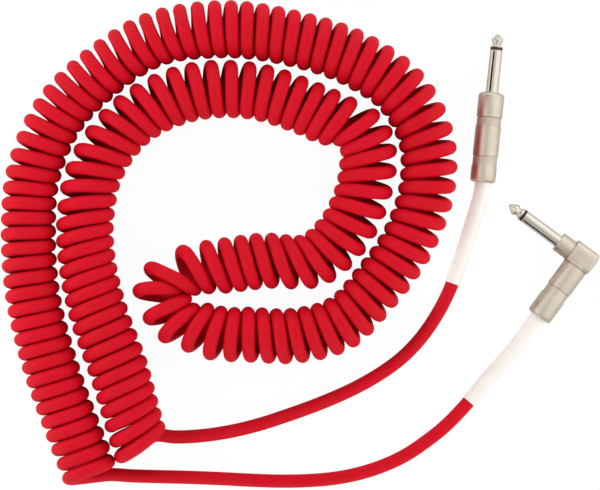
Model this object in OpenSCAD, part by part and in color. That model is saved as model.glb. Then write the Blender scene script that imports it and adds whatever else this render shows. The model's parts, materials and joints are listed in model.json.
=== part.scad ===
// Coiled instrument cable: a long curled cord laid in a loop on a flat
// surface, with a straight jack plug on one end and a right-angle jack plug on
// the other. +Z is up, the surface is z = 0, and the origin is midway between
// the outermost points of the two plugs with their strain reliefs.

/* [Cord] */
// Outside diameter of the jacketed cord
cord_d = 6.9; // [6.4:0.1:7.2]
// Outside diameter of the curled stretch
coil_d = 28.7; // [27.5:0.1:30]
// Number of curls along the route
curls = 88; // [70:1:92]
// Diameter of the insulated middle wire
core_d = 1.8; // [1.4:0.1:2.2]
// Diameter of the gathered shield strands
tail_d = 1.4; // [1:0.1:1.6]
// Length of bared wires between a plug body and the end of the jacket
wire_len = 8.5; // [7:0.1:9.2]

/* [Contacts] */
// Diameter of the sleeve contact
shank_d = 6.35; // [6.3:0.01:6.4]
// Widest diameter of the tip contact
tip_d = 6; // [5.7:0.05:6.2]
// Radius of the point of the tip
tip_point_r = 0.65; // [0.4:0.05:0.9]
// Width of the flat at the tip's widest diameter
tip_land = 0.6; // [0.3:0.1:0.9]
// Diameter of the neck behind the nose of the tip
tip_neck_d = 4.1; // [3.6:0.1:4.6]
// Length of the neck
tip_neck_len = 0.3; // [0.2:0.1:0.6]
// Length of the black insulating ring behind the tip
tip_ring_len = 1.4; // [0.9:0.1:1.7]
// Diameter of the rod that runs back from the tip
rod_d = 2.4; // [2:0.1:2.6]
// Wall of the insulating tube round the rod
rod_tube_wall = 0.55; // [0.4:0.05:0.7]
// Diameter of the riveted end of the rod
rivet_d = 3.4; // [3:0.1:3.6]
// Thickness of the riveted end of the rod
rivet_len = 0.7; // [0.5:0.1:0.9]
// Diameter of the pressed root of the sleeve contact
press_d = 6.8; // [6.6:0.1:7.2]
// Length of the pressed root of the sleeve contact
press_len = 8; // [6:0.1:8.6]

/* [Solder parts] */
// Thickness of the solder lugs
lug_t = 0.6; // [0.4:0.1:0.8]
// Width of the solder lugs' arms
lug_w = 2.4; // [2:0.1:3]
// Distance from a plug's rear axis to its lug's arm
lug_offset = 2; // [1.9:0.05:2.2]
// How far the lugs reach past the threaded end
lug_reach = 3.2; // [2.4:0.1:4]
// Diameter of the straight plug's insulating washer
washer_d = 7; // [6.9:0.1:7.8]
// Thickness of the straight plug's insulating washer
washer_len = 1.5; // [1:0.1:1.8]
// Diameter of the right-angle plug's insulating bush
bush_d = 5.2; // [4.6:0.1:5.8]

/* [Cord clamp] */
// Thickness of the clamp's ring
clamp_ring_t = 0.7; // [0.5:0.1:0.8]
// How far the clamp's ring stays inside the thread
clamp_inset = 0.25; // [0.1:0.05:0.4]
// Bore of the clamp's ring
clamp_bore_d = 7.4; // [7:0.1:7.8]
// Thickness of the clamp's arm and claw
clamp_t = 0.6; // [0.5:0.05:0.7]
// Distance from the ring's front to the claw
claw_start = 9.5; // [9.3:0.1:10]
// Length of the claw that grips the jacket
claw_len = 6; // [4:0.1:6.6]
// Opening of the claw in degrees
claw_gap = 60; // [40:5:90]
// Width of the clamp's arm in degrees
arm_width = 70; // [50:5:90]

/* [Straight plug] */
// Reach of the straight plug in front of its collar
straight_reach = 30.5; // [28:0.1:32]
// Length of the straight plug's short tip contact
straight_tip_len = 6.9; // [6.4:0.1:8]
// Distance from the point of that tip to its widest diameter
straight_nose_len = 2.9; // [2.5:0.1:3.4]
// Distance from the back of that tip to its neck
straight_neck_start = 1.2; // [1:0.1:1.6]
// Diameter of the collar
collar_d = 13.2; // [12.8:0.1:14]
// Length of the collar
collar_len = 12.3; // [11.8:0.1:13]
// Rounding of the collar's front edge
collar_round = 1.8; // [1:0.1:2]
// Diameter of the raised ring at the root of the sleeve contact
root_ring_d = 8.4; // [7.6:0.1:9]
// Height of the raised ring
root_ring_h = 0.5; // [0.3:0.1:0.8]
// Diameter of the straight handle's smooth stretches
handle_d = 13; // [12.6:0.1:13.2]
// Depth of the straight handle's knurled bands
band_depth = 0.3; // [0.2:0.05:0.4]
// Length of the front knurled band
front_band_len = 4.4; // [3.6:0.1:5.4]
// Length of the middle stretch
middle_len = 15.6; // [14:0.1:18]
// Length of the rear knurled band
rear_band_len = 4.9; // [4:0.1:6]
// Length of the rear stretch
rear_len = 8.5; // [7:0.1:11]
// Rounding of the straight handle's rear edge
handle_round = 1.9; // [1:0.1:2]

/* [Right-angle plug] */
// Reach of the right-angle plug in front of its neck
angle_reach = 31.5; // [28:0.1:33]
// Length of the right-angle plug's long tip contact
angle_tip_len = 8.3; // [7.6:0.1:9]
// Distance from the point of that tip to its widest diameter
angle_nose_len = 4.1; // [3.6:0.1:4.6]
// Distance from the back of that tip to its neck
angle_neck_start = 2.1; // [1.8:0.1:2.4]
// Diameter of the neck
neck_d = 10.3; // [9.8:0.1:11]
// Distance from the neck's front face to the axis of the handle
neck_len = 14.5; // [13.8:0.1:16]
// Diameter of the drum that turns the corner
drum_d = 13.6; // [13.2:0.1:14.4]
// Distance from the neck's axis to the closed end of the drum
drum_back = 6.5; // [6.2:0.1:8]
// Distance from the neck's axis to the seam of the handle
drum_front = 5.5; // [5.2:0.1:7]
// Wall of the drum's closed end
drum_end_wall = 2; // [1.2:0.1:2.4]
// Rounding of the drum's closed end
drum_round = 1.2; // [0.8:0.1:1.8]
// Diameter of the right-angle handle's main stretches
angle_handle_d = 12.6; // [12.4:0.1:13.2]
// Depth of the right-angle handle's recessed band
angle_band_depth = 0.2; // [0.15:0.05:0.35]
// Length of the front stretch
angle_front_len = 14.4; // [12:0.1:18]
// Length of the recessed band
angle_band_len = 4.7; // [4:0.1:6]
// Length of the rear stretch
angle_rear_len = 12.5; // [10:0.1:15]
// Rounding of the right-angle handle's rear edge
angle_handle_round = 1.7; // [1:0.1:1.8]

/* [Threads and handles] */
// Wall of the straight handle
straight_wall = 1.2; // [1.1:0.05:1.3]
// Wall of the right-angle handle
angle_wall = 1; // [0.9:0.05:1.1]
// Wall of the threaded ends, round the hollow inside both plug bodies
thread_wall = 1.05; // [0.9:0.05:1.15]
// Length of the threaded ends
thread_len = 6; // [5.6:0.1:7]
// Thickness of the handles' rear walls
rear_wall = 2.3; // [2:0.1:3]
// Wall of the insulating liners
liner_wall = 0.5; // [0.3:0.05:0.5]
// Distance from a threaded end to its liner
liner_start = 1; // [0.9:0.1:2]
// Small chamfer on turned edges
edge = 0.3; // [0.2:0.05:0.4]

/* [Strain relief] */
// Diameter of the strain reliefs at the handles
boot_d = 8.3; // [8.1:0.1:8.6]
// Diameter of the strain reliefs at their far ends
boot_tip_d = 7.6; // [7.5:0.1:8]
// Distance from a threaded end to the front of its strain relief
boot_start = 17.3; // [16.2:0.1:18]
// Straight run of a strain relief behind its handle
boot_straight = 6; // [5.5:0.1:7]

/* [Fits] */
// Radial gap in the screw threads
thread_gap = 0.05; // [0.03:0.01:0.1]
// Gap at the visible seam between a body and its handle
seam_gap = 0.1; // [0.05:0.05:0.2]
// Radial gap of pressed and gripped parts
press_gap = 0.01; // [0.005:0.005:0.03]
// Radial gap round the insulating liners
liner_gap = 0.08; // [0.05:0.01:0.1]
// Radial gap between the cord and its strain relief
sleeve_gap = 0.17; // [0.12:0.01:0.2]
// Radial gap between a strain relief and its handle
boot_gap = 0.45; // [0.4:0.05:0.5]

/* [Hidden] */

// Facets: turned parts are true rounds, swept cords are polygons
$fn = 96;
curl_sides = 6;
rings_per_curl = 8;
lead_sides = 12;
boot_sides = 16;
wire_sides = 8;
wire_steps = 8;
arc_steps = 6;

// How far a cut runs past the faces that it opens
past = 1;
down = [0, 0, -1];

// Middle of the laid-out loop of cord, from the origin
loop_middle = [-113.8, -12.7];

// Plug directions, from handle to tip, and the points where the cord leaves
// the handles, all measured from the middle of the loop
straight_turn = 84;
straight_exit = [93.45, 32.05];
angle_turn = 143.7;
angle_exit = [122.1, -36.75];

// Lead from the curls to the right-angle plug's strain relief: on the surface
angle_floor_points = [
    [-86.3, -118.6], [-71.9, -119], [-56.5, -119.4], [-41.1, -120],
    [-25.7, -120.8], [-10.3, -121.3], [4.5, -121], [18, -119.8],
    [30.6, -117.3], [42.4, -113.5], [53.8, -108.2], [64.1, -101.4],
    [73.5, -94]
];
// The same lead inside its strain relief: x, y and rise from the surface (0)
// to the height of the plug (1)
angle_boot_points = [
    [86.9, -80.1, 0], [92.5, -73.6, 0.08], [97.9, -67.1, 0.25],
    [103.1, -61.2, 0.48], [108.2, -55.2, 0.72], [113.2, -48.9, 0.92]
];
// Lead from the curls to the straight plug's strain relief: on the surface
straight_floor_points = [
    [-64.5, -98.6], [-50, -97.9], [-35.5, -95.7], [-21, -92.2],
    [-7.7, -87.9], [5, -83.4], [17.5, -78.4], [29.5, -72.8],
    [41, -66.2], [51.5, -58.6], [60.8, -49.3], [68.6, -38.6]
];
// The same lead inside its strain relief
straight_boot_points = [
    [78.3, -19.4, 0], [81, -11.8, 0.08], [83.7, -4.2, 0.25],
    [86, 3.4, 0.48], [88.4, 11, 0.72], [90.7, 18.6, 0.92]
];
boot_floor_gap = 0.1;

// Bared wires: where each one's solder joint starts behind the threaded end,
// the steps that lie straight at the jacket and at the joint, and the gap
// between the two wires
wire_joint_start = 1;
tail_joint_start = 2.5;
jacket_steps = 1;
joint_steps = 2;
tail_gap = 0.3;

tip_edge = 0.15;

// Route of the curled stretch from the right-angle plug's lead round to the
// straight plug's lead: station, x, y, facing, swell. Relaxed, the cord has one
// curl to a station; the curls here are spread evenly over the same stations.
// Facing is the direction, in degrees, from a curl's left side to its right
// side, and swell is how much wider than coil_d the curls have grown there.
stations = 134;
first_station = 0.5;
curl_route = [
    [0.5, -106, -117, 13, 0.5], [4, -115.5, -93, 12, 0], [9, -127.5, -59, 9, 0],
    [14, -136, -24, 3, -0.5], [18, -138, 6, -5, -0.5], [22, -135.5, 36, -16, -0.5],
    [26, -123, 65.5, -38, 0], [30, -101.5, 87.5, -56, 0], [34, -74, 104.5, -71, 0],
    [38, -42, 109.5, -91, 1], [43, -4, 105, -105, 0.5], [48, 32.5, 92, -122, 1],
    [51, 52, 77.5, -142, 1], [54, 64, 54.5, -167, 0.5], [57, 64.5, 29, -188, 0.5],
    [60, 56.5, 5, -208, 0], [64, 38, -22, -229, 0], [67, 21, -39.5, -247, 0.5],
    [70, -2, -46, -264, 0], [73, -26, -45.5, -277, 0], [75, -43.5, -44.5, -295, 0.5],
    [76, -52.5, -41.5, -309, 0.5], [77, -62, -38.5, -325, 0.5], [78, -67, -31.5, -346, 0.5],
    [79, -71, -21.5, -367, 0], [80, -64.5, -16.5, -400, 0], [81, -52, -12, -430, -0.5],
    [82, -42.5, -11, -435, 0], [85, -18.5, -8, -440, 0.5], [88, 7.5, -7, -422, 1],
    [90, 20, 3.5, -402, 1], [93, 32, 27, -374, 1], [95, 34.5, 44, -353, 1.5],
    [96, 33.5, 51.5, -342, 1.5], [97, 29, 58.5, -332, 2], [98, 19.5, 62.5, -316, 2],
    [100, 5, 69, -304, 1], [104, -26, 78.5, -283, 1], [108, -59.5, 76.5, -256, 1.5],
    [112, -89, 60, -222, 0.5], [115, -104, 38, -195, 1], [118, -109, 13, -176, 1],
    [121, -108, -9.5, -167, 1], [124, -103.5, -30.5, -163, 1.5], [129, -91.5, -65, -161, 2],
    [132, -85.5, -86, -157, 1.5], [134.5, -80, -105, -148, 1.5]
];

// Sizes worked out from the ones above
curl_r = (coil_d - cord_d) / 2;
axis_floor = cord_d / 2;
rod_tube_d = rod_d + 2 * press_gap + 2 * rod_tube_wall;
shank_bore_d = rod_tube_d + 2 * press_gap;
straight_sleeve_len = straight_reach - straight_tip_len - tip_ring_len;
angle_sleeve_len = angle_reach - angle_tip_len - tip_ring_len;
bush_len = neck_len - press_len - lug_offset - lug_t;
boot_hole_d = boot_d + 2 * boot_gap;
claw_r = cord_d / 2 + press_gap;
straight_handle_len = front_band_len + middle_len + rear_band_len + rear_len;
angle_handle_len = angle_front_len + angle_band_len + angle_rear_len;

// Distances along each plug's rear axis: threaded end and handle's rear face
straight_thread_end = collar_len + thread_len;
straight_rear = collar_len + seam_gap + straight_handle_len;
angle_thread_end = drum_front + thread_len;
angle_rear = drum_front + seam_gap + angle_handle_len;

// Diameters of each handle's bore and of the thread and the hollow in it
straight_bore_d = handle_d - 2 * straight_wall;
straight_thread_d = straight_bore_d - 2 * thread_gap;
straight_cavity_d = straight_thread_d - 2 * thread_wall;
angle_bore_d = angle_handle_d - 2 * angle_wall;
angle_thread_d = angle_bore_d - 2 * thread_gap;
angle_cavity_d = angle_thread_d - 2 * thread_wall;

band_d = handle_d - 2 * band_depth;
angle_band_d = angle_handle_d - 2 * angle_band_depth;
straight_rear_round = min(handle_round, (handle_d - boot_hole_d) / 2);
angle_rear_round = min(angle_handle_round, (angle_handle_d - boot_hole_d) / 2);

straight_height = collar_d / 2;
angle_height = drum_d / 2;

// --- Places ---------------------------------------------------------------

function on_loop(p) = [loop_middle.x + p.x, loop_middle.y + p.y];
function toward(turn) = [cos(turn), sin(turn)];
function beside(turn) = [-sin(turn), cos(turn)];

// Middle of the collar's front face, and of the neck's
straight_place = on_loop(straight_exit) + straight_rear * toward(straight_turn);
angle_place = on_loop(angle_exit) - angle_rear * beside(angle_turn)
    + neck_len * toward(angle_turn);

// Stand a plug, drawn with its tip along +Z, on the surface
module at_straight() {
    translate([straight_place.x, straight_place.y, straight_height])
        rotate([90, 0, straight_turn + 90])
            children();
}

module at_angle() {
    translate([angle_place.x, angle_place.y, angle_height])
        rotate([90, 0, angle_turn + 90])
            children();
}

// Rear parts are drawn with +Z to the cord and +X to the lug's arm
module straight_behind(distance = 0) {
    at_straight()
        rotate([180, 0, 0])
            translate([0, 0, distance])
                children();
}

module angle_behind(distance = 0) {
    at_angle()
        translate([0, 0, -neck_len])
            rotate([0, 90, 0])
                rotate([0, 0, 180])
                    translate([0, 0, distance])
                        children();
}

// A point on a plug's rear axis, in the object's own frame
function straight_axis_point(distance) =
    let (p = straight_place - distance * toward(straight_turn))
    [p.x, p.y, straight_height];

function angle_axis_point(distance) =
    let (p = angle_place - neck_len * toward(angle_turn)
        + distance * beside(angle_turn))
    [p.x, p.y, angle_height];

// --- Swept tubes ----------------------------------------------------------

function unit(v) = v / norm(v);

// One ring of points round p, with the first on the side of up
function ring(p, along, up, r, sides) =
    let (side = unit(cross(along, up)), top = unit(cross(side, along)))
    [for (k = [0:sides - 1])
        p + r * (cos(360 * k / sides) * top + sin(360 * k / sides) * side)];

// Direction of a route at its point i
function heading(points, i) =
    let (last = len(points) - 1)
    unit(points[min(i + 1, last)] - points[max(i - 1, 0)]);

// Rings square to a route, with a radius for each point
function route_rings(points, radii, sides, up = [0, 0, 1]) =
    [for (i = [0:len(points) - 1])
        ring(points[i], heading(points, i), up, radii[i], sides)];

// Triangles between ring a and ring b
function band_faces(a, b, sides) =
    [for (k = [0:sides - 1], half = [0, 1])
        let (next = (k + 1) % sides)
        half == 0
            ? [a * sides + k, a * sides + next, b * sides + k]
            : [a * sides + next, b * sides + next, b * sides + k]];

function cap_faces(a, sides, flip) =
    [for (k = [1:sides - 2])
        flip
            ? [a * sides, a * sides + k + 1, a * sides + k]
            : [a * sides, a * sides + k, a * sides + k + 1]];

function flat_points(rings) = [for (r = rings, p = r) p];

// A solid tube through the rings
module solid_tube(rings) {
    count = len(rings);
    sides = len(rings[0]);
    faces = concat(
        [for (i = [0:count - 2], f = band_faces(i, i + 1, sides)) f],
        cap_faces(0, sides, true),
        cap_faces(count - 1, sides, false)
    );
    polyhedron(points = flat_points(rings), faces = faces);
}

// A hollow sleeve between outer and inner rings
module sleeve_tube(outer, inner) {
    count = len(outer);
    sides = len(outer[0]);
    back = [for (i = [count - 1:-1:0]) inner[i]];
    rings = concat(outer, back);
    total = len(rings);
    faces = [for (i = [0:total - 1], f = band_faces(i, (i + 1) % total, sides)) f];
    polyhedron(points = flat_points(rings), faces = faces);
}

function same(value, count) = [for (i = [1:count]) value];

// --- Curled stretch -------------------------------------------------------

function route_step(i) = curl_route[i + 1][0] - curl_route[i][0];
function route_at(i) = [for (k = [1:4]) curl_route[i][k]];
function route_slope(i) = (route_at(i + 1) - route_at(i)) / route_step(i);

// Change of x, y, facing and swell per station at row i of the route
function row_slope(i) =
    let (last = len(curl_route) - 1)
    i == 0 ? route_slope(0)
    : i == last ? route_slope(last - 1)
    : let (before = route_step(i - 1), after = route_step(i))
        (route_slope(i) * before + route_slope(i - 1) * after) / (before + after);

row_slopes = [for (i = [0:len(curl_route) - 1]) row_slope(i)];

function row_before(station) =
    max([for (i = [0:len(curl_route) - 2]) if (i == 0 || curl_route[i][0] <= station) i]);

// x, y, facing and swell at a station, on a smooth curve through the rows
function lane(station) =
    let (
        i = row_before(station),
        step = route_step(i),
        t = (station - curl_route[i][0]) / step
    )
    route_at(i) * (2 * t ^ 3 - 3 * t ^ 2 + 1)
    + row_slopes[i] * step * (t ^ 3 - 2 * t ^ 2 + t)
    + route_at(i + 1) * (3 * t ^ 2 - 2 * t ^ 3)
    + row_slopes[i + 1] * step * (t ^ 3 - t ^ 2);

function station_of(turn) = first_station + (turn - first_station) * stations / curls;

// Middle of the cord, turn curls along; a whole turn is the top of a curl
function curl_point(turn) =
    let (
        here = lane(station_of(turn)),
        facing = here[2],
        r = curl_r + here[3] / 2,
        across = r * sin(360 * turn)
    )
    [
        loop_middle.x + here.x + cos(facing) * across,
        loop_middle.y + here.y + sin(facing) * across,
        axis_floor + r + r * cos(360 * turn)
    ];

// Direction from the middle of a curl out to the cord
function curl_out(turn) =
    let (facing = lane(station_of(turn))[2])
    [
        cos(facing) * sin(360 * turn),
        sin(facing) * sin(360 * turn),
        cos(360 * turn)
    ];

turn_step = 0.01;
function curl_heading(turn) =
    unit(curl_point(turn + turn_step) - curl_point(turn - turn_step));

first_turn = first_station;
last_turn = curls + first_station;
curl_turns = [for (k = [0:curls * rings_per_curl]) first_turn + k / rings_per_curl];
curl_centres = [for (turn = curl_turns) curl_point(turn)];

// The cord leaves the curls flat on the surface, straight for one diameter
function level(v) = unit([v.x, v.y, 0]);
first_heading = level(curl_heading(first_turn));
last_heading = level(curl_heading(last_turn));
first_end = curl_centres[0] - cord_d * first_heading;
last_end = curl_centres[len(curl_centres) - 1] + cord_d * last_heading;

curl_rings = concat(
    [ring(first_end, first_heading, down, cord_d / 2, curl_sides)],
    [ring(curl_centres[0], first_heading, down, cord_d / 2, curl_sides)],
    [for (k = [1:len(curl_turns) - 2])
        ring(curl_centres[k], curl_heading(curl_turns[k]), curl_out(curl_turns[k]),
            cord_d / 2, curl_sides)],
    [ring(curl_centres[len(curl_centres) - 1], last_heading, down,
        cord_d / 2, curl_sides)],
    [ring(last_end, last_heading, down, cord_d / 2, curl_sides)]
);

// Distance from p to the straight piece between a and b
function piece_distance(p, a, b) =
    let (ab = b - a, t = max(0, min(1, (p - a) * ab / (ab * ab))))
    norm(p - a - t * ab);

// Least gap of the tube to itself, from more than half a curl away along it
function least_gap(centres) =
    let (near = rings_per_curl / 2 + 1)
    min([for (i = [0:len(centres) - 1], j = [i + near:1:len(centres) - 2])
        piece_distance(centres[i], centres[j], centres[j + 1])]) - cord_d;

function route_length(points) =
    len(points) < 2 ? 0
    : [for (i = [1:len(points) - 1]) norm(points[i] - points[i - 1])]
        * same(1, len(points) - 1);

module curly_cord() {
    echo(least_gap_mm = least_gap(curl_centres));
    echo(curled_length_mm = route_length(curl_centres) + 2 * cord_d);
    color("#c00a1c")
        solid_tube(curl_rings);
}

// --- Leads and strain reliefs ---------------------------------------------

function floor_point(p) =
    let (q = on_loop(p)) [q.x, q.y, axis_floor];

// A point inside a strain relief, between its lowest place and the plug axis
function boot_point(p, height) =
    let (q = on_loop([p.x, p.y]), low = boot_tip_d / 2 + boot_floor_gap)
    [q.x, q.y, low + p[2] * (height - low)];

straight_boot_route = concat(
    [for (p = straight_boot_points) boot_point(p, straight_height)],
    [straight_axis_point(straight_rear + boot_straight)],
    [straight_axis_point(straight_thread_end + boot_start)]
);

angle_boot_route = concat(
    [for (p = angle_boot_points) boot_point(p, angle_height)],
    [angle_axis_point(angle_rear + boot_straight)],
    [angle_axis_point(angle_thread_end + boot_start)]
);

straight_lead_route = concat(
    [last_end],
    [for (p = straight_floor_points) floor_point(p)],
    straight_boot_route,
    [straight_axis_point(straight_thread_end + wire_len)]
);

angle_lead_route = concat(
    [first_end],
    [for (p = angle_floor_points) floor_point(p)],
    angle_boot_route,
    [angle_axis_point(angle_thread_end + wire_len)]
);

// A lead's rings; the first is square to the cord that it joins
function lead_rings(route, start_heading) = concat(
    [ring(route[0], start_heading, down, cord_d / 2, lead_sides)],
    [for (i = [1:len(route) - 1])
        ring(route[i], heading(route, i), down, cord_d / 2, lead_sides)]
);

module angle_lead() {
    color("#c8142a")
        solid_tube(lead_rings(angle_lead_route, -first_heading));
}

module straight_lead() {
    color("#c8142a")
        solid_tube(lead_rings(straight_lead_route, last_heading));
}

// A tapered sleeve round the cord, full size where it lies in the handle
module boot(route) {
    last = len(route) - 1;
    radii = [for (i = [0:last])
        boot_tip_d / 2 + (boot_d - boot_tip_d) / 2 * min(1, i / (last - 1))];
    inner = same(cord_d / 2 + sleeve_gap, last + 1);
    color("#f2f0ea")
        sleeve_tube(route_rings(route, radii, boot_sides),
            route_rings(route, inner, boot_sides));
}

module straight_boot() {
    boot(straight_boot_route);
}

module angle_boot() {
    boot(angle_boot_route);
}

// --- Contacts -------------------------------------------------------------

// Points of an arc round a centre
function arc(centre, r, from, to) =
    [for (k = [0:arc_steps])
        let (a = from + (to - from) * k / arc_steps)
        centre + r * [cos(a), sin(a)]];

// The tip contact with its rod and riveted end; z = 0 is the body's front face
module tip_contact(reach, tip_len, nose_len, neck_start, rod_end) {
    tip_back = reach - tip_len;
    widest = reach - nose_len;
    neck_z = tip_back + neck_start;
    flange_z = tip_back + neck_start / 2;
    nose_slope = atan2(tip_d / 2, nose_len);
    color("#bdb7a8")
        rotate_extrude()
            polygon(concat(
                arc([0, reach - tip_point_r], tip_point_r, 90, nose_slope),
                [[tip_d / 2, widest + tip_land / 2]],
                [[tip_d / 2, widest - tip_land / 2]],
                [[tip_neck_d / 2, neck_z + tip_neck_len]],
                [[tip_neck_d / 2, neck_z]],
                [[tip_d / 2 - tip_edge, flange_z]],
                [[tip_d / 2, flange_z - tip_edge]],
                [[tip_d / 2, tip_back], [rod_d / 2, tip_back]],
                [[rod_d / 2, rod_end], [rivet_d / 2, rod_end]],
                [[rivet_d / 2, rod_end - rivet_len], [0, rod_end - rivet_len]]
            ));
}

module tip_ring(sleeve_len) {
    color("#1c1a18")
        translate([0, 0, sleeve_len])
            difference() {
                cylinder(d = shank_d, h = tip_ring_len);
                translate([0, 0, -past])
                    cylinder(d = rod_d + 2 * press_gap, h = tip_ring_len + 2 * past);
            }
}

module rod_tube(sleeve_len) {
    color("#3a3632")
        translate([0, 0, -press_len])
            difference() {
                cylinder(d = rod_tube_d, h = sleeve_len + press_len);
                translate([0, 0, -past])
                    cylinder(d = rod_d + 2 * press_gap, h = sleeve_len + press_len + 2 * past);
            }
}

// Sleeve contact whose pressed root ends root_end in front of the plug's face
module shank(sleeve_len, root_end) {
    color("#bdb7a8")
        rotate_extrude()
            polygon([
                [shank_bore_d / 2, -press_len], [press_d / 2, -press_len],
                [press_d / 2, root_end], [shank_d / 2, root_end],
                [shank_d / 2, sleeve_len], [shank_bore_d / 2, sleeve_len]
            ]);
}

// --- Parts behind both plug bodies ----------------------------------------

// Wall of a ring or part of a ring
module curved_wall(r, t, h, from, sweep) {
    rotate([0, 0, from])
        rotate_extrude(angle = sweep)
            translate([r, 0])
                square([t, h]);
}

// Spring-brass cord clamp: ring on the threaded end, arm and claw
module clamp(thread_d) {
    color("#c9b27a") {
        difference() {
            cylinder(d = thread_d - 2 * clamp_inset, h = clamp_ring_t);
            translate([0, 0, -past])
                cylinder(d = clamp_bore_d, h = clamp_ring_t + 2 * past);
        }
        translate([0, 0, clamp_ring_t / 2])
            curved_wall(claw_r, clamp_t, claw_start, 180 - arm_width / 2, arm_width);
        translate([0, 0, claw_start])
            curved_wall(claw_r, clamp_t, claw_len, claw_gap / 2, 360 - claw_gap);
    }
}

// Insulating liner inside the handle, from the threaded end to its rear wall
module liner(bore_d, thread_end, rear) {
    liner_d = bore_d - 2 * liner_gap;
    long = rear - rear_wall - thread_end - liner_start - seam_gap;
    color("#2b2b2b")
        translate([0, 0, thread_end + liner_start])
            difference() {
                cylinder(d = liner_d, h = long);
                translate([0, 0, -past])
                    cylinder(d = liner_d - 2 * liner_wall, h = long + 2 * past);
            }
}

// A bared wire that eases sideways from the jacket's end to its solder joint
module bared_wire(d, jacket_x, joint_x, joint_start) {
    run = wire_len - joint_start;
    eased = wire_steps - jacket_steps - joint_steps;
    points = [for (k = [0:wire_steps])
        let (t = max(0, min(1, (k - jacket_steps) / eased)))
        [
            jacket_x + (joint_x - jacket_x) * (1 - cos(180 * t)) / 2,
            0,
            wire_len - run * k / wire_steps
        ]];
    solid_tube(route_rings(points, same(d / 2, len(points)), wire_sides, [1, 0, 0]));
}

module core_wire() {
    color("#e8e2cf")
        bared_wire(core_d, 0, lug_offset - core_d / 2, wire_joint_start);
}

module shield_tail() {
    color("#b87a4a")
        bared_wire(tail_d, -(core_d + tail_d) / 2 - tail_gap, tail_d / 2 - claw_r,
            tail_joint_start);
}

// --- Straight plug --------------------------------------------------------

module straight_tip() {
    at_straight()
        tip_contact(straight_reach, straight_tip_len, straight_nose_len,
            straight_neck_start, -press_len - washer_len - lug_t);
}

module straight_tip_ring() {
    at_straight()
        tip_ring(straight_sleeve_len);
}

module straight_rod_tube() {
    at_straight()
        rod_tube(straight_sleeve_len);
}

module straight_shank() {
    at_straight()
        shank(straight_sleeve_len, root_ring_h);
}

// Turned collar with a rounded shoulder and the threaded end behind it
module straight_collar() {
    end = -straight_thread_end;
    color("#c8bbab")
        at_straight()
            rotate_extrude()
                polygon(concat(
                    [[press_d / 2 + press_gap, root_ring_h]],
                    [[root_ring_d / 2, root_ring_h], [root_ring_d / 2, 0]],
                    arc([collar_d / 2 - collar_round, -collar_round],
                        collar_round, 90, 0),
                    [[collar_d / 2, -collar_len], [straight_thread_d / 2, -collar_len]],
                    [[straight_thread_d / 2, end + edge], [straight_thread_d / 2 - edge, end]],
                    [[straight_cavity_d / 2, end], [straight_cavity_d / 2, -press_len]],
                    [[press_d / 2 + press_gap, -press_len]]
                ));
}

module straight_washer() {
    color("#e9e4d6")
        straight_behind(press_len)
            difference() {
                cylinder(d = washer_d, h = washer_len);
                translate([0, 0, -past])
                    cylinder(d = rod_d + 2 * press_gap, h = washer_len + 2 * past);
            }
}

// Round lug under the riveted end, with one arm bent back for the wire
module straight_lug() {
    arm_len = straight_thread_end + lug_reach - press_len - washer_len;
    lug_d = 2 * (lug_offset + lug_t);
    color("#c9b27a")
        straight_behind(press_len + washer_len)
            difference() {
                union() {
                    cylinder(d = lug_d, h = lug_t);
                    translate([lug_offset, -lug_w / 2, 0])
                        cube([lug_t, lug_w, arm_len]);
                }
                translate([0, 0, -past])
                    cylinder(d = rod_d + 2 * press_gap, h = lug_t + 2 * past);
            }
}

module straight_clamp() {
    straight_behind(straight_thread_end)
        clamp(straight_thread_d);
}

module straight_liner() {
    straight_behind()
        liner(straight_bore_d, straight_thread_end, straight_rear);
}

// Turned handle: two recessed bands for the fingers, screwed on the collar
module straight_handle() {
    a = collar_len + seam_gap;
    b = a + front_band_len;
    c = b + middle_len;
    d = c + rear_band_len;
    color("#c8bbab")
        straight_behind()
            rotate_extrude()
                polygon(concat(
                    [[straight_bore_d / 2, a], [band_d / 2, a], [band_d / 2, b]],
                    [[handle_d / 2, b + edge], [handle_d / 2, c], [band_d / 2, c]],
                    [[band_d / 2, d], [handle_d / 2, d + edge]],
                    arc([handle_d / 2 - straight_rear_round,
                            straight_rear - straight_rear_round],
                        straight_rear_round, 0, 90),
                    [[boot_hole_d / 2, straight_rear]],
                    [[boot_hole_d / 2, straight_rear - rear_wall]],
                    [[straight_bore_d / 2, straight_rear - rear_wall]]
                ));
}

module straight_core_wire() {
    straight_behind(straight_thread_end)
        core_wire();
}

module straight_shield_tail() {
    straight_behind(straight_thread_end)
        shield_tail();
}

// --- Right-angle plug -----------------------------------------------------

module angle_tip() {
    at_angle()
        tip_contact(angle_reach, angle_tip_len, angle_nose_len,
            angle_neck_start, -press_len - bush_len - lug_t);
}

module angle_tip_ring() {
    at_angle()
        tip_ring(angle_sleeve_len);
}

module angle_rod_tube() {
    at_angle()
        rod_tube(angle_sleeve_len);
}

module angle_shank() {
    at_angle()
        shank(angle_sleeve_len, 0);
}

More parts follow.
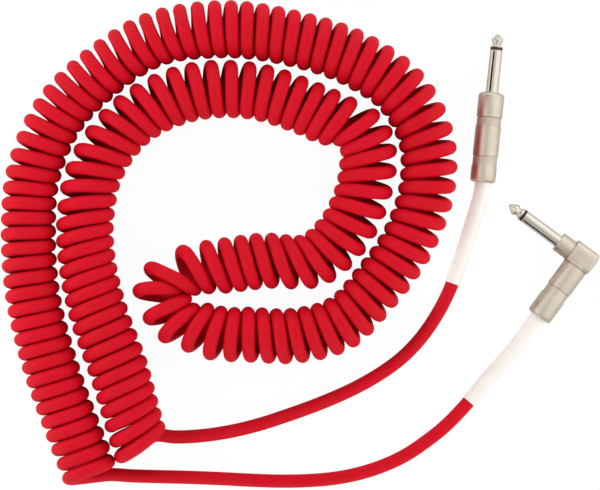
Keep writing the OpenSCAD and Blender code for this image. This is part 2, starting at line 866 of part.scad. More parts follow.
// Turned neck running into a hollow drum that carries the threaded end
module angle_elbow() {
    color("#c8bbab")
        difference() {
            union() {
                at_angle()
                    rotate_extrude()
                        polygon([
                            [0, 0], [neck_d / 2 - edge, 0], [neck_d / 2, -edge],
                            [neck_d / 2, -neck_len], [0, -neck_len]
                        ]);
                angle_behind()
                    rotate_extrude()
                        polygon(concat(
                            [[0, -drum_back]],
                            arc([drum_d / 2 - drum_round, drum_round - drum_back],
                                drum_round, -90, 0),
                            [[drum_d / 2, drum_front], [angle_thread_d / 2, drum_front]],
                            [[angle_thread_d / 2, angle_thread_end - edge]],
                            [[angle_thread_d / 2 - edge, angle_thread_end]],
                            [[0, angle_thread_end]]
                        ));
            }
            at_angle()
                translate([0, 0, -press_len])
                    cylinder(d = press_d + 2 * press_gap, h = press_len + past);
            at_angle()
                translate([0, 0, -neck_len])
                    cylinder(d = bush_d + 2 * press_gap, h = neck_len);
            angle_behind(drum_end_wall - drum_back)
                cylinder(d = angle_cavity_d,
                    h = drum_back - drum_end_wall + angle_thread_end + past);
        }
}

module angle_bush() {
    color("#e9e4d6")
        at_angle()
            translate([0, 0, -press_len - bush_len])
                difference() {
                    cylinder(d = bush_d, h = bush_len);
                    translate([0, 0, -past])
                        cylinder(d = rod_d + 2 * press_gap, h = bush_len + 2 * past);
                }
}

// Flat lug across the drum, riveted on the rod's end
module angle_lug() {
    color("#c9b27a")
        difference() {
            union() {
                at_angle()
                    translate([0, 0, -press_len - bush_len - lug_t])
                        cylinder(d = 2 * (lug_offset + lug_t), h = lug_t);
                angle_behind()
                    translate([lug_offset, -lug_w / 2, 0])
                        cube([lug_t, lug_w, angle_thread_end + lug_reach]);
            }
            at_angle()
                translate([0, 0, -press_len - bush_len - lug_t - past])
                    cylinder(d = rod_d + 2 * press_gap, h = lug_t + 2 * past);
        }
}

module angle_clamp() {
    angle_behind(angle_thread_end)
        clamp(angle_thread_d);
}

module angle_liner() {
    angle_behind()
        liner(angle_bore_d, angle_thread_end, angle_rear);
}

// Turned handle with one shallow recessed band, screwed on the drum
module angle_handle() {
    a = drum_front + seam_gap;
    b = a + angle_front_len;
    c = b + angle_band_len;
    color("#c8bbab")
        angle_behind()
            rotate_extrude()
                polygon(concat(
                    [[angle_bore_d / 2, a], [angle_handle_d / 2 - edge, a]],
                    [[angle_handle_d / 2, a + edge], [angle_handle_d / 2, b]],
                    [[angle_band_d / 2, b], [angle_band_d / 2, c]],
                    [[angle_handle_d / 2, c + edge]],
                    arc([angle_handle_d / 2 - angle_rear_round,
                            angle_rear - angle_rear_round],
                        angle_rear_round, 0, 90),
                    [[boot_hole_d / 2, angle_rear]],
                    [[boot_hole_d / 2, angle_rear - rear_wall]],
                    [[angle_bore_d / 2, angle_rear - rear_wall]]
                ));
}

module angle_core_wire() {
    angle_behind(angle_thread_end)
        core_wire();
}

module angle_shield_tail() {
    angle_behind(angle_thread_end)
        shield_tail();
}

// --- The object -----------------------------------------------------------

curly_cord();
angle_lead();
straight_lead();
straight_tip();
straight_tip_ring();
straight_rod_tube();
straight_shank();
straight_collar();
straight_washer();
straight_lug();
straight_clamp();
straight_liner();
straight_handle();
straight_boot();
straight_core_wire();
straight_shield_tail();
angle_tip();
angle_tip_ring();
angle_rod_tube();
angle_shank();
angle_elbow();
angle_bush();
angle_lug();
angle_clamp();
angle_liner();
angle_handle();
angle_boot();
angle_core_wire();
angle_shield_tail();
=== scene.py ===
import json
import math

import bmesh
import bpy
import numpy as np
from mathutils import Matrix, Vector
from mathutils.kdtree import KDTree


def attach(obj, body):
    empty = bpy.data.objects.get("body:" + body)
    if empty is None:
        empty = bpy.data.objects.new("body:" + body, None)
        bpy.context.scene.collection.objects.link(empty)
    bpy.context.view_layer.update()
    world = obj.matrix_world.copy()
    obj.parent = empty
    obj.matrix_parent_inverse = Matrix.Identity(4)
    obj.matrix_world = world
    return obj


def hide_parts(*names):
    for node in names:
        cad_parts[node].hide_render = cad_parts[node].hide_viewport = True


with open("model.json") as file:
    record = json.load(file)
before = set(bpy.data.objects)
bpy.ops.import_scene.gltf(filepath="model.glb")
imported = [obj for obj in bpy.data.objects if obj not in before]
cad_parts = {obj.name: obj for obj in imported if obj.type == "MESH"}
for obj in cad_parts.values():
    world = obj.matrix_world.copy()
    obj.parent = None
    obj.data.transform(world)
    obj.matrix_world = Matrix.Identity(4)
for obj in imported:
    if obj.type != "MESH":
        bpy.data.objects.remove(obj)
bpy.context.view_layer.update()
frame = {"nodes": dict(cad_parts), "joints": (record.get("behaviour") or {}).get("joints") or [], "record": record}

# --- View ---------------------------------------------------------------------
# The cable lies on a flat surface and is seen from straight above the middle of
# its loop, square to the surface.

MM = 0.001
loop_middle = Vector((-0.1138, -0.0127, 0))
view_height = 1.0
view_width = 0.3093

camera_data = bpy.data.cameras.new("camera")
camera_data.lens = camera_data.sensor_width * view_height / view_width
camera = bpy.data.objects.new("camera", camera_data)
camera.location = loop_middle + Vector((0, 0, view_height))
bpy.context.scene.collection.objects.link(camera)
bpy.context.scene.camera = camera
bpy.context.scene.view_settings.view_transform = "Standard"


# --- Cord ---------------------------------------------------------------------
# One length of coaxial instrument cable in a soft red PVC jacket. Its long middle
# stretch was wound on a mandrel and heat-set, so it lies in relaxed curls, and a
# plain lead runs from each end of the curls to a plug.

cord_d = 6.9 * MM
coil_d = 28.7 * MM

# Route of the curls: station, x, y, facing, swell. A station is one curl. Facing
# is the direction in degrees from a curl's left side to its right side, and swell
# is how much wider than coil_d the curls have grown there.
first_station = 0.5
curl_route = [
    (0.5, -0.106, -0.117, 13, 0.0005), (4, -0.1155, -0.093, 12, 0),
    (9, -0.1275, -0.059, 9, 0), (14, -0.136, -0.024, 3, -0.0005),
    (18, -0.138, 0.006, -5, -0.0005), (22, -0.1355, 0.036, -16, -0.0005),
    (26, -0.123, 0.0655, -38, 0), (30, -0.1015, 0.0875, -56, 0),
    (34, -0.074, 0.1045, -71, 0), (38, -0.042, 0.1095, -91, 0.001),
    (43, -0.004, 0.105, -105, 0.0005), (48, 0.0325, 0.092, -122, 0.001),
    (51, 0.052, 0.0775, -142, 0.001), (54, 0.064, 0.0545, -167, 0.0005),
    (57, 0.0645, 0.029, -188, 0.0005), (60, 0.0565, 0.005, -208, 0),
    (64, 0.038, -0.022, -229, 0), (67, 0.021, -0.0395, -247, 0.0005),
    (70, -0.002, -0.046, -264, 0), (73, -0.026, -0.0455, -277, 0),
    (75, -0.0435, -0.0445, -295, 0.0005), (76, -0.0525, -0.0415, -309, 0.0005),
    (77, -0.062, -0.0385, -325, 0.0005), (78, -0.067, -0.0315, -346, 0.0005),
    (79, -0.071, -0.0215, -367, 0), (80, -0.0645, -0.0165, -400, 0),
    (81, -0.052, -0.012, -430, -0.0005), (82, -0.0425, -0.011, -435, 0),
    (85, -0.0185, -0.008, -440, 0.0005), (88, 0.0075, -0.007, -422, 0.001),
    (90, 0.02, 0.0035, -402, 0.001), (93, 0.032, 0.027, -374, 0.001),
    (95, 0.0345, 0.044, -353, 0.0015), (96, 0.0335, 0.0515, -342, 0.0015),
    (97, 0.029, 0.0585, -332, 0.002), (98, 0.0195, 0.0625, -316, 0.002),
    (100, 0.005, 0.069, -304, 0.001), (104, -0.026, 0.0785, -283, 0.001),
    (108, -0.0595, 0.0765, -256, 0.0015), (112, -0.089, 0.06, -222, 0.0005),
    (115, -0.104, 0.038, -195, 0.001), (118, -0.109, 0.013, -176, 0.001),
    (121, -0.108, -0.0095, -167, 0.001), (124, -0.1035, -0.0305, -163, 0.0015),
    (129, -0.0915, -0.065, -161, 0.002), (132, -0.0855, -0.086, -157, 0.0015),
    (134.5, -0.08, -0.105, -148, 0.0015),
]

# Lean of the curls: station, and how far on, in stations, each curl touches down
curl_lean = [
    (0.5, -0.25), (3, 0), (20, 0), (26, 0.22), (35, 0.28), (40, 0), (131, 0), (134.5, -0.5),
]

# Leads, from the curls to each strain relief, on the surface
angle_floor_points = [
    (-0.0863, -0.1186), (-0.0719, -0.119), (-0.0565, -0.1194), (-0.0411, -0.12),
    (-0.0257, -0.1208), (-0.0103, -0.1213), (0.0045, -0.121), (0.018, -0.1198),
    (0.0306, -0.1173), (0.0424, -0.1135), (0.0538, -0.1082), (0.0641, -0.1014),
    (0.0735, -0.094),
]
straight_floor_points = [
    (-0.0645, -0.0986), (-0.05, -0.0979), (-0.0355, -0.0957), (-0.021, -0.0922),
    (-0.0077, -0.0879), (0.005, -0.0834), (0.0175, -0.0784), (0.0295, -0.0728),
    (0.041, -0.0662), (0.0515, -0.0586), (0.0608, -0.0493), (0.0686, -0.0386),
]

# Leads inside the strain reliefs: x, y and rise from the surface (0) to the plug (1)
angle_boot_points = [
    (0.0869, -0.0801, 0), (0.0925, -0.0736, 0.08), (0.0979, -0.0671, 0.25),
    (0.1031, -0.0612, 0.48), (0.1082, -0.0552, 0.72), (0.1132, -0.0489, 0.92),
]
straight_boot_points = [
    (0.0783, -0.0194, 0), (0.081, -0.0118, 0.08), (0.0837, -0.0042, 0.25),
    (0.086, 0.0034, 0.48), (0.0884, 0.011, 0.72), (0.0907, 0.0186, 0.92),
]

# Each plug's corner or front face, with its rear axis, as the joints place them
joints = {joint["name"]: joint for joint in frame["joints"]}
straight_start = np.array(joints["straight_handle_turn"]["pos_m"])
straight_rearward = np.array(joints["straight_handle_turn"]["axis"])
angle_start = np.array(joints["angle_handle_turn"]["pos_m"])
angle_rearward = np.array(joints["angle_handle_turn"]["axis"])

# Distances along those axes
straight_thread_end = 18.3 * MM
straight_rear = 45.8 * MM
angle_thread_end = 11.5 * MM
angle_rear = 37.2 * MM
wire_len = 8.5 * MM
boot_start = 17.3 * MM
boot_straight = 6 * MM
boot_low = 3.9 * MM
lead_spacing = 2.4 * MM


def hermite(stations, rows, wanted):
    """Rows at the wanted stations, on a smooth curve through the given rows."""
    steps = np.diff(stations)[:, None]
    slopes = np.diff(rows, axis=0) / steps
    middle = (slopes[1:] * steps[:-1] + slopes[:-1] * steps[1:]) / (steps[:-1] + steps[1:])
    tangents = np.vstack([slopes[:1], middle, slopes[-1:]])
    i = np.clip(np.searchsorted(stations, wanted, side="right") - 1, 0, len(steps) - 1)
    step = steps[i]
    t = (wanted - stations[i])[:, None] / step
    return (
        rows[i] * (2 * t**3 - 3 * t**2 + 1)
        + tangents[i] * step * (t**3 - 2 * t**2 + t)
        + rows[i + 1] * (3 * t**2 - 2 * t**3)
        + tangents[i + 1] * step * (t**3 - t**2)
    )


def curl_points(rings_per_curl):
    """Middle of the cord along the curls, each curl standing on the surface."""
    rows = np.array(curl_route)
    stations = np.arange(first_station, rows[-1, 0] + 1e-6, 1 / rings_per_curl)
    around = 2 * math.pi * stations
    lean = np.interp(stations, *np.array(curl_lean).T) * (1 - np.cos(around)) / 2
    x, y, facing, swell = hermite(rows[:, 0], rows[:, 1:], stations + lean).T
    facing = np.radians(facing)
    r = (coil_d - cord_d + swell) / 2
    return np.column_stack([
        loop_middle.x + x + np.cos(facing) * r * np.sin(around),
        loop_middle.y + y + np.sin(facing) * r * np.sin(around),
        cord_d / 2 + r + r * np.cos(around),
    ])


def settled(points, apart, rounds=60, sorting=12, smoothing=9, stride=1.6):
    """Push the curls off each other wherever they would lie in one another.

    Points nearer along the cord than apart don't press on each other. The pairs that
    may touch are found again each time sorting rounds have gone by, and each round's
    pushes are smoothed along the cord.
    """
    points = points.copy()
    kernel = np.hanning(smoothing)
    kernel /= kernel.sum()
    for lap in range(rounds):
        if lap % sorting == 0:
            tree = KDTree(len(points))
            for i, point in enumerate(points):
                tree.insert(point, i)
            tree.balance()
            pairs = np.array([
                (i, j)
                for i, point in enumerate(points)
                for _, j, _ in tree.find_range(point, 1.5 * cord_d)
                if j > i + apart
            ])
        a, b = pairs.T
        gap = points[b] - points[a]
        distance = np.linalg.norm(gap, axis=1)
        press = np.maximum(0, cord_d - distance) / 2
        touching = press > 0
        if not touching.any():
            break
        push = gap / distance[:, None] * press[:, None]
        moved = np.zeros_like(points)
        count = np.zeros(len(points))
        np.add.at(moved, a[touching], -push[touching])
        np.add.at(moved, b[touching], push[touching])
        np.add.at(count, a[touching], 1)
        np.add.at(count, b[touching], 1)
        moved /= np.maximum(count, 1)[:, None]
        for axis in range(3):
            moved[:, axis] = np.convolve(moved[:, axis], kernel, "same")
        ends = np.minimum(np.arange(len(points)), np.arange(len(points))[::-1])
        moved *= np.clip(ends / apart, 0, 1)[:, None]
        points += stride * moved
        points[:, 2] = np.maximum(points[:, 2], cord_d / 2)
    return points


def boot_route(points, start, rearward, thread_end, rear):
    """Route inside a strain relief, from the surface up to the plug's axis."""
    rise = start[2] - boot_low
    return np.vstack([
        [(loop_middle.x + x, loop_middle.y + y, boot_low + up * rise) for x, y, up in points],
        start + rearward * (rear + boot_straight),
        start + rearward * (thread_end + boot_start),
    ])


def smooth_route(points, spacing):
    """Points on a smooth curve through the given points, about a spacing apart."""
    points = np.array(points)
    along = np.concatenate([[0], np.cumsum(np.linalg.norm(np.diff(points, axis=0), axis=1))])
    wanted = np.linspace(0, along[-1], int(along[-1] / spacing) + 1)
    return hermite(along, points, wanted)


def lead_route(curl_end, stub_end, floor_points, boot, start, rearward, thread_end):
    """Route from the curls through the strain relief to the end of the jacket."""
    floor = [(loop_middle.x + x, loop_middle.y + y, cord_d / 2) for x, y in floor_points]
    jacket_end = start + rearward * (thread_end + wire_len)
    return smooth_route([curl_end, stub_end, *floor, *boot, jacket_end], lead_spacing)


rings_per_curl = 36
curls = settled(curl_points(rings_per_curl), apart=rings_per_curl // 2)


def stub(end, inner):
    """Where the cord has left the curls, flat on the surface and one diameter on."""
    away = end - inner
    away[2] = 0
    return end + cord_d * away / np.linalg.norm(away)


angle_boot_route = boot_route(
    angle_boot_points, angle_start, angle_rearward, angle_thread_end, angle_rear
)
straight_boot_route = boot_route(
    straight_boot_points, straight_start, straight_rearward, straight_thread_end,
    straight_rear
)
angle_lead = lead_route(
    curls[0], stub(curls[0], curls[1]), angle_floor_points, angle_boot_route,
    angle_start, angle_rearward, angle_thread_end
)
straight_lead = lead_route(
    curls[-1], stub(curls[-1], curls[-2]), straight_floor_points, straight_boot_route,
    straight_start, straight_rearward, straight_thread_end
)
cord_route = np.vstack([angle_lead[:0:-1], curls, straight_lead[1:]])


def sections(route, radii, sides):
    """Rings of points square to a route, turning with it and never twisting."""
    headings = np.gradient(route, axis=0)
    headings /= np.linalg.norm(headings, axis=1)[:, None]
    up = np.array([0.0, 0.0, 1.0])
    turns = np.arange(sides) * 2 * math.pi / sides
    rings = []
    for point, heading, radius in zip(route, headings, radii):
        up = up - heading * up.dot(heading)
        up /= np.linalg.norm(up)
        side = np.cross(up, heading)
        ring = np.cos(turns)[:, None] * up + np.sin(turns)[:, None] * side
        rings.append(point + radius * ring)
    return np.array(rings)


def ring_quads(first, second, sides):
    """Faces between two rings, given by the index of each one's first point."""
    return [
        (first + k, first + (k + 1) % sides, second + (k + 1) % sides, second + k)
        for k in range(sides)
    ]


def new_piece(name, points, faces, smooth_angle=30):
    """A mesh object at the origin, smooth but for edges sharper than the angle."""
    mesh = bpy.data.meshes.new(name)
    mesh.from_pydata([tuple(p) for p in points], [], faces)
    mesh.shade_smooth()
    mesh.set_sharp_from_angle(angle=math.radians(smooth_angle))
    piece = bpy.data.objects.new(name, mesh)
    bpy.context.scene.collection.objects.link(piece)
    return piece


def tube(name, route, radii, sides):
    """A solid tube with flat ends, with a UV map of turns round and metres along."""
    rings = sections(route, radii, sides)
    count = len(rings)
    faces = [f for i in range(count - 1) for f in ring_quads(i * sides, (i + 1) * sides, sides)]
    faces.append(tuple(reversed(range(sides))))
    faces.append(tuple(range((count - 1) * sides, count * sides)))
    piece = new_piece(name, rings.reshape(-1, 3), faces)
    along = np.concatenate([[0], np.cumsum(np.linalg.norm(np.diff(route, axis=0), axis=1))])
    layer = piece.data.uv_layers.new(name="jacket")
    for face in piece.data.polygons:
        for loop in face.loop_indices:
            i, k = divmod(piece.data.loops[loop].vertex_index, sides)
            seam = k == 0 and len(face.vertices) == 4 and face.index % sides == sides - 1
            layer.data[loop].uv = (1 if seam else k / sides, along[i])
    return piece


def linear(colour):
    """Linear red, green, blue and alpha of an sRGB hex colour."""
    parts = [int(colour[i:i + 2], 16) / 255 for i in (1, 3, 5)]
    return [p / 12.92 if p <= 0.04045 else ((p + 0.055) / 1.055) ** 2.4 for p in parts] + [1]


def add(tree, kind, inputs=(), **settings):
    """A new node with its settings, its input values and the links into it."""
    made = tree.nodes.new(kind)
    for name, value in settings.items():
        setattr(made, name, value)
    for name, value in dict(inputs).items():
        if isinstance(value, bpy.types.NodeSocket):
            tree.links.new(value, made.inputs[name])
        else:
            made.inputs[name].default_value = value
    return made


def finish_named(name, **values):
    """A new material, with its tree, its shader and its Object coordinates."""
    made = bpy.data.materials.new(name)
    made.use_nodes = True
    tree = made.node_tree
    shader = tree.nodes["Principled BSDF"]
    for socket, value in values.items():
        shader.inputs[socket.replace("_", " ")].default_value = value
    return made, tree, shader, add(tree, "ShaderNodeTexCoord").outputs["Object"]


def noise(tree, coordinates, size, detail=3):
    """Soft noise whose features are about one size across, in metres."""
    return add(tree, "ShaderNodeTexNoise",
               {"Vector": coordinates, "Scale": 1 / size, "Detail": detail}).outputs["Fac"]


def between(tree, factor, low, high, low_at=0.3, high_at=0.7):
    """A number that runs from low to high as the factor does."""
    return add(tree, "ShaderNodeMapRange", {
        "Value": factor, "From Min": low_at, "From Max": high_at,
        "To Min": low, "To Max": high,
    }).outputs["Result"]


def blended(tree, factor, first, second):
    """A colour between two hex colours."""
    made = add(tree, "ShaderNodeMix", {0: factor}, data_type="RGBA")
    made.inputs[6].default_value = linear(first)
    made.inputs[7].default_value = linear(second)
    return made.outputs[2]


def bumped(tree, height, distance, strength=1.0):
    """A normal from a height of 0 to 1 and its real depth in metres."""
    return add(tree, "ShaderNodeBump",
               {"Height": height, "Distance": distance, "Strength": strength}).outputs["Normal"]


def dress(piece, material):
    """Give a piece one material, on every face."""
    piece.data.materials.clear()
    piece.data.materials.append(material)


# Soft extruded PVC: an even red with a dull, faintly grained skin, which is slightly
# paler and duller where it was handled.
pvc_grain = 0.35 * MM
pvc_handling = 30 * MM
pvc_grain_depth = 0.012 * MM
pvc, tree, shader, coordinates = finish_named("soft_pvc_jacket", IOR=1.3)
handled = noise(tree, coordinates, pvc_handling)
tree.links.new(blended(tree, between(tree, handled, 0, 1), "#CB0019", "#D30021"),
               shader.inputs["Base Color"])
tree.links.new(between(tree, handled, 0.62, 0.72), shader.inputs["Roughness"])
tree.links.new(bumped(tree, noise(tree, coordinates, pvc_grain), pvc_grain_depth),
               shader.inputs["Normal"])

cord_sides = 16
cord = tube("cord", cord_route, np.full(len(cord_route), cord_d / 2), cord_sides)
dress(cord, pvc)
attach(cord, "cable")
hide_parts("curly_cord", "angle_lead", "straight_lead")


# --- Strain reliefs -----------------------------------------------------------
# A white vinyl sleeve over the cord behind each plug, pushed into the handle and
# narrowing a little towards the cord. The real sleeves are printed; these are bare.

boot_d = 8.3 * MM
boot_tip_d = 7.6 * MM
boot_bore = 7.24 * MM
boot_lip = 0.25 * MM
boot_sides = 40
boot_spacing = 0.8 * MM
boot_taper = 1.15


def sleeve(name, route):
    """A hollow tapered sleeve along a route, its first end rounded over."""
    route = smooth_route(route, boot_spacing)
    away = (route[0] - route[1]) / np.linalg.norm(route[0] - route[1])
    along = np.concatenate([[0], np.cumsum(np.linalg.norm(np.diff(route, axis=0), axis=1))])
    widened = np.clip(along / along[-1] * boot_taper, 0, 1)
    radii = (boot_tip_d + (boot_d - boot_tip_d) * widened) / 2
    outer = sections(route, radii, boot_sides)
    inner = sections(route, np.full(len(route), boot_bore / 2), boot_sides)
    over = []
    for angle in np.radians([15, 35, 60, 80]):
        shrink = radii[0] - boot_lip * (1 - math.sin(math.pi / 2 - angle))
        over.append((route[0] + away * boot_lip * math.sin(angle), shrink))
    lip = [
        point + (outer[0] - route[0]) * radius / radii[0]
        for point, radius in over
    ]
    lip_inner = inner[0] + away * boot_lip
    rings = [*outer[::-1], *lip, lip_inner, *inner]
    count = len(rings)
    faces = [
        face
        for i in range(count)
        for face in ring_quads(i * boot_sides, (i + 1) % count * boot_sides, boot_sides)
    ]
    return new_piece(name, np.array(rings).reshape(-1, 3), faces, smooth_angle=50)


# Extruded white vinyl: clean, even and a little glossy, with slow ripples where the
# sleeve has crept on the cord.
vinyl_ripple = 2.5 * MM
vinyl, tree, shader, coordinates = finish_named("white_vinyl_sleeve", IOR=1.5)
soiled = noise(tree, coordinates, 9 * MM)
tree.links.new(blended(tree, between(tree, soiled, 0, 1), "#F7F2EC", "#F3EDE6"),
               shader.inputs["Base Color"])
tree.links.new(between(tree, soiled, 0.3, 0.4), shader.inputs["Roughness"])
tree.links.new(bumped(tree, noise(tree, coordinates, vinyl_ripple, 2), 0.03 * MM),
               shader.inputs["Normal"])

for side, route in (("straight", straight_boot_route), ("angle", angle_boot_route)):
    boot = sleeve(side + "_strain_relief", route)
    dress(boot, vinyl)
    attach(boot, "cable")
    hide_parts(side + "_boot")


# --- Straight plug's contacts ---------------------------------------------------
# A turned brass tip on a long rod, a black insulating ring and a tubular sleeve
# contact, both metals nickel plated and polished bright.

mounts = {mount["name"]: mount for mount in frame["record"]["mounts"]}
lathe_sides = 96

# Radii, lengths and places of both plugs' contacts, in mm
sleeve_r = 3.175
tip_r = 3
tip_neck_r = 2.05
rod_r = 1.2
rivet_r = 1.7
ring_r = 3.16
ring_length = 1.4
root_r = 3.4
root_back = -8
bore_r = 1.78


def soften(corners, steps=5):
    """Round each corner (place, radius, round) of a turned outline, all in mm."""
    count = len(corners)
    outline = []
    for i, (place, radius, rounding) in enumerate(corners):
        here = np.array([place, radius], float)
        if not rounding:
            outline.append(here)
            continue
        before = np.array(corners[i - 1][:2], float) - here
        after = np.array(corners[(i + 1) % count][:2], float) - here
        before *= min(1, rounding / np.linalg.norm(before))
        after *= min(1, rounding / np.linalg.norm(after))
        for t in np.linspace(0, 1, steps):
            outline.append(here + before * (1 - t) ** 2 + after * t**2)
    return np.array(outline) * MM


def turned(name, outline, sides=lathe_sides):
    """A turned piece about +Z through a closed outline of (place, radius)."""
    mesh = bmesh.new()
    rings = []
    for place, radius in outline:
        if radius < 1e-7:
            rings.append([mesh.verts.new((0, 0, place))] * sides)
            continue
        rings.append([
            mesh.verts.new((radius * math.cos(a), radius * math.sin(a), place))
            for a in np.arange(sides) * 2 * math.pi / sides
        ])
    for ring, following in zip(rings, rings[1:] + rings[:1]):
        for k in range(sides):
            corners = [ring[k], ring[(k + 1) % sides],
                       following[(k + 1) % sides], following[k]]
            unique = list(dict.fromkeys(corners))
            if len(unique) > 2:
                mesh.faces.new(unique)
    bmesh.ops.remove_doubles(mesh, verts=mesh.verts, dist=1e-7)
    bmesh.ops.recalc_face_normals(mesh, faces=mesh.faces)
    data = bpy.data.meshes.new(name)
    mesh.to_mesh(data)
    mesh.free()
    data.shade_smooth()
    data.set_sharp_from_angle(angle=math.radians(35))
    piece = bpy.data.objects.new(name, data)
    bpy.context.scene.collection.objects.link(piece)
    return piece


def along_axis(start, direction):
    """The matrix that takes +Z to a direction from a start, with +X kept level."""
    z = Vector(direction).normalized()
    y = Vector((0, 0, 1))
    x = y.cross(z)
    matrix = Matrix((x, y, z)).transposed().to_4x4()
    return Matrix.Translation(Vector(start)) @ matrix


def tip_outline(reach, length, nose, neck, rod_end):
    """Outline of a tip contact, its rod and the riveted end, in mm."""
    back, widest = reach - length, reach - nose
    return soften([
        (reach, 0, 0), (reach - 0.2, 0.75, 0.5), (widest + 0.3, tip_r, 0.4),
        (widest - 0.3, tip_r, 0.35), (back + neck + 0.3, tip_neck_r, 0.3),
        (back + neck, tip_neck_r, 0.2), (back + neck / 2, tip_r, 0.25), (back, tip_r, 0.1),
        (back, rod_r, 0), (rod_end, rod_r, 0), (rod_end, rivet_r, 0),
        (rod_end - 0.7, rivet_r, 0.2), (rod_end - 0.7, 0, 0),
    ])


def ring_outline(sleeve_end, tip_back):
    """Outline of the black insulating ring, in mm."""
    return soften([
        (tip_back, 1.21, 0), (tip_back, ring_r, 0.1), (sleeve_end, ring_r, 0.1),
        (sleeve_end, 1.21, 0),
    ])


def shank_outline(sleeve_end, root_end):
    """Outline of the sleeve contact with its pressed root, in mm."""
    return soften([
        (sleeve_end, bore_r, 0), (sleeve_end, sleeve_r, 0.12), (root_end, sleeve_r, 0),
        (root_end, root_r, 0), (root_back, root_r, 0), (root_back, bore_r, 0),
    ])


# Polished nickel plate: a bright warm mirror, softened by a haze of fine wipe marks.
wipe_length = 1.2 * MM
bright_nickel, tree, shader, coordinates = finish_named(
    "polished_nickel_plate", Metallic=1.0
)
wiped = noise(tree, coordinates, wipe_length)
tree.links.new(blended(tree, between(tree, wiped, 0, 1), "#E7DFD1", "#E0D7C8"),
               shader.inputs["Base Color"])
tree.links.new(between(tree, wiped, 0.08, 0.13), shader.inputs["Roughness"])

# Turned phenolic: black, close grained, faintly ringed by the tool.
phenolic, tree, shader, coordinates = finish_named("black_phenolic", IOR=1.55)
ringed = noise(tree, coordinates, 0.5 * MM)
tree.links.new(blended(tree, ringed, "#15120F", "#241F1A"), shader.inputs["Base Color"])
tree.links.new(between(tree, ringed, 0.35, 0.5), shader.inputs["Roughness"])


def add_contacts(side, place, reach, length, nose, neck, root_end, rod_end):
    """The tip, ring and sleeve contact of one plug."""
    sleeve_end = reach - length - ring_length
    for name, outline, material, slot in (
        ("tip", tip_outline(reach, length, nose, neck, rod_end), bright_nickel,
         "bright_nickel"),
        ("tip_ring", ring_outline(sleeve_end, reach - length), phenolic,
         "black_insulator"),
        ("shank", shank_outline(sleeve_end, root_end), bright_nickel, "bright_nickel"),
    ):
        piece = turned(side + "_" + name + "_finished", outline)
        piece.data.transform(place)
        dress(piece, material)
        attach(piece, "cable")
        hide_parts(side + "_" + name)


straight_tipward = along_axis(straight_start, -straight_rearward)
straight_behind = along_axis(straight_start, straight_rearward)
add_contacts(
    "straight", straight_tipward, reach=30.5, length=6.9, nose=2.9, neck=1.2,
    root_end=0.5, rod_end=-10.1
)


# --- Straight plug's collar -----------------------------------------------------
# The plug's body: a brass bar turned with a rounded shoulder in front and a thread
# behind, nickel plated over a fine blasted surface. The handle screws on its thread.

thread_pitch = 1.0 * MM
thread_depth = 0.5 * MM


def socket(tree, name, kind, default=None, low=None):
    """A named input of a Geometry Nodes tree."""
    made = tree.interface.new_socket(name=name, in_out="INPUT", socket_type=kind)
    if default is not None:
        made.default_value = default
    if low is not None:
        made.min_value = low
    return made


def maths(tree, operation, first, second=0.0, third=None):
    """One Math node's result."""
    inputs = {0: first, 1: second}
    if third is not None:
        inputs[2] = third
    return add(tree, "ShaderNodeMath", inputs, operation=operation).outputs[0]


